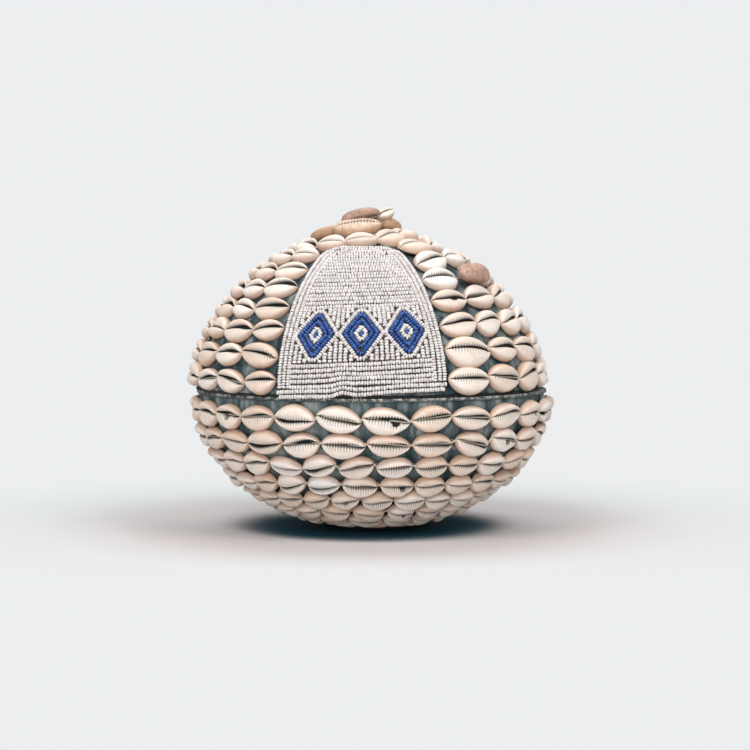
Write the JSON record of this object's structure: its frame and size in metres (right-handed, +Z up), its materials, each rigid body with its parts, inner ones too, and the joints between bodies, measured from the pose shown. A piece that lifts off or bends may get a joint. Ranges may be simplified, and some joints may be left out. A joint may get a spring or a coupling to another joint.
{
  "type": "lidded calabash bowl",
  "caption": "Round calabash bowl with a lift-off domed lid, covered in strung cowrie shells, with a beaded panel on the lid.",
  "frame": {"origin": "middle of the flat underside of the base pad, on the bowl's axis", "axes": "+Z up along the bowl's axis, -Y towards the beaded panel, +X to the right of it"},
  "size_m": [0.2139, 0.2126, 0.1867],
  "materials": {
    "gourd": "scraped dry calabash, satin outside and matt inside",
    "cloth": "grey-brown cloth glued down, matt, streaked",
    "tape": "raw cotton tape",
    "dark_leather": "dark goatskin, matt",
    "pad_leather": "thick brown leather, matt",
    "cowrie": "natural shell, cream to peach, soft gloss",
    "crown_cowrie": "natural shell, darker and larger",
    "white_bead": "opaque pearl-white glass, glossy",
    "blue_bead": "opaque royal blue glass, glossy"
  },
  "bodies": {
    "bowl": {"base_pad": "pad_leather", "bowl_cover": "cloth", "bowl_cowries_row_1": "cowrie", "bowl_cowries_row_2": "cowrie", "bowl_cowries_row_3": "cowrie", "bowl_cowries_row_4": "cowrie", "bowl_cowries_row_5": "cowrie", "bowl_cowries_row_6": "cowrie", "bowl_cowries_row_7": "cowrie", "bowl_cowries_row_8": "cowrie", "bowl_gourd": "gourd", "bowl_rim_binding": "tape", "seat_collar": "dark_leather"},
    "lid": {"crown_cowrie_back": "crown_cowrie", "crown_cowrie_front": "crown_cowrie", "crown_cowrie_left": "crown_cowrie", "crown_cowrie_right": "crown_cowrie", "crown_cowrie_side": "crown_cowrie", "crown_cowrie_top": "crown_cowrie", "lid_cover": "cloth", "lid_cowries_row_1": "cowrie", "lid_cowries_row_2": "cowrie", "lid_cowries_row_3": "cowrie", "lid_cowries_row_4": "cowrie", "lid_cowries_row_5": "cowrie", "lid_cowries_row_6": "cowrie", "lid_cowries_row_7": "cowrie", "lid_cowries_row_8": "cowrie", "lid_gourd": "gourd", "lid_rim_facing": "dark_leather", "panel_backing": "tape", "panel_beads_band": "white_bead", "panel_beads_lower": "white_bead", "panel_beads_upper": "white_bead", "panel_border_left": "white_bead", "panel_border_right": "white_bead", "panel_lozenge_left": "blue_bead", "panel_lozenge_middle": "blue_bead", "panel_lozenge_right": "blue_bead"}
  },
  "joints": [
    {"name": "lid_lift", "type": "slide", "parent": "bowl", "child": "lid", "axis": [0, 0, 1], "range_m": [0, 0.12]}
  ]
}
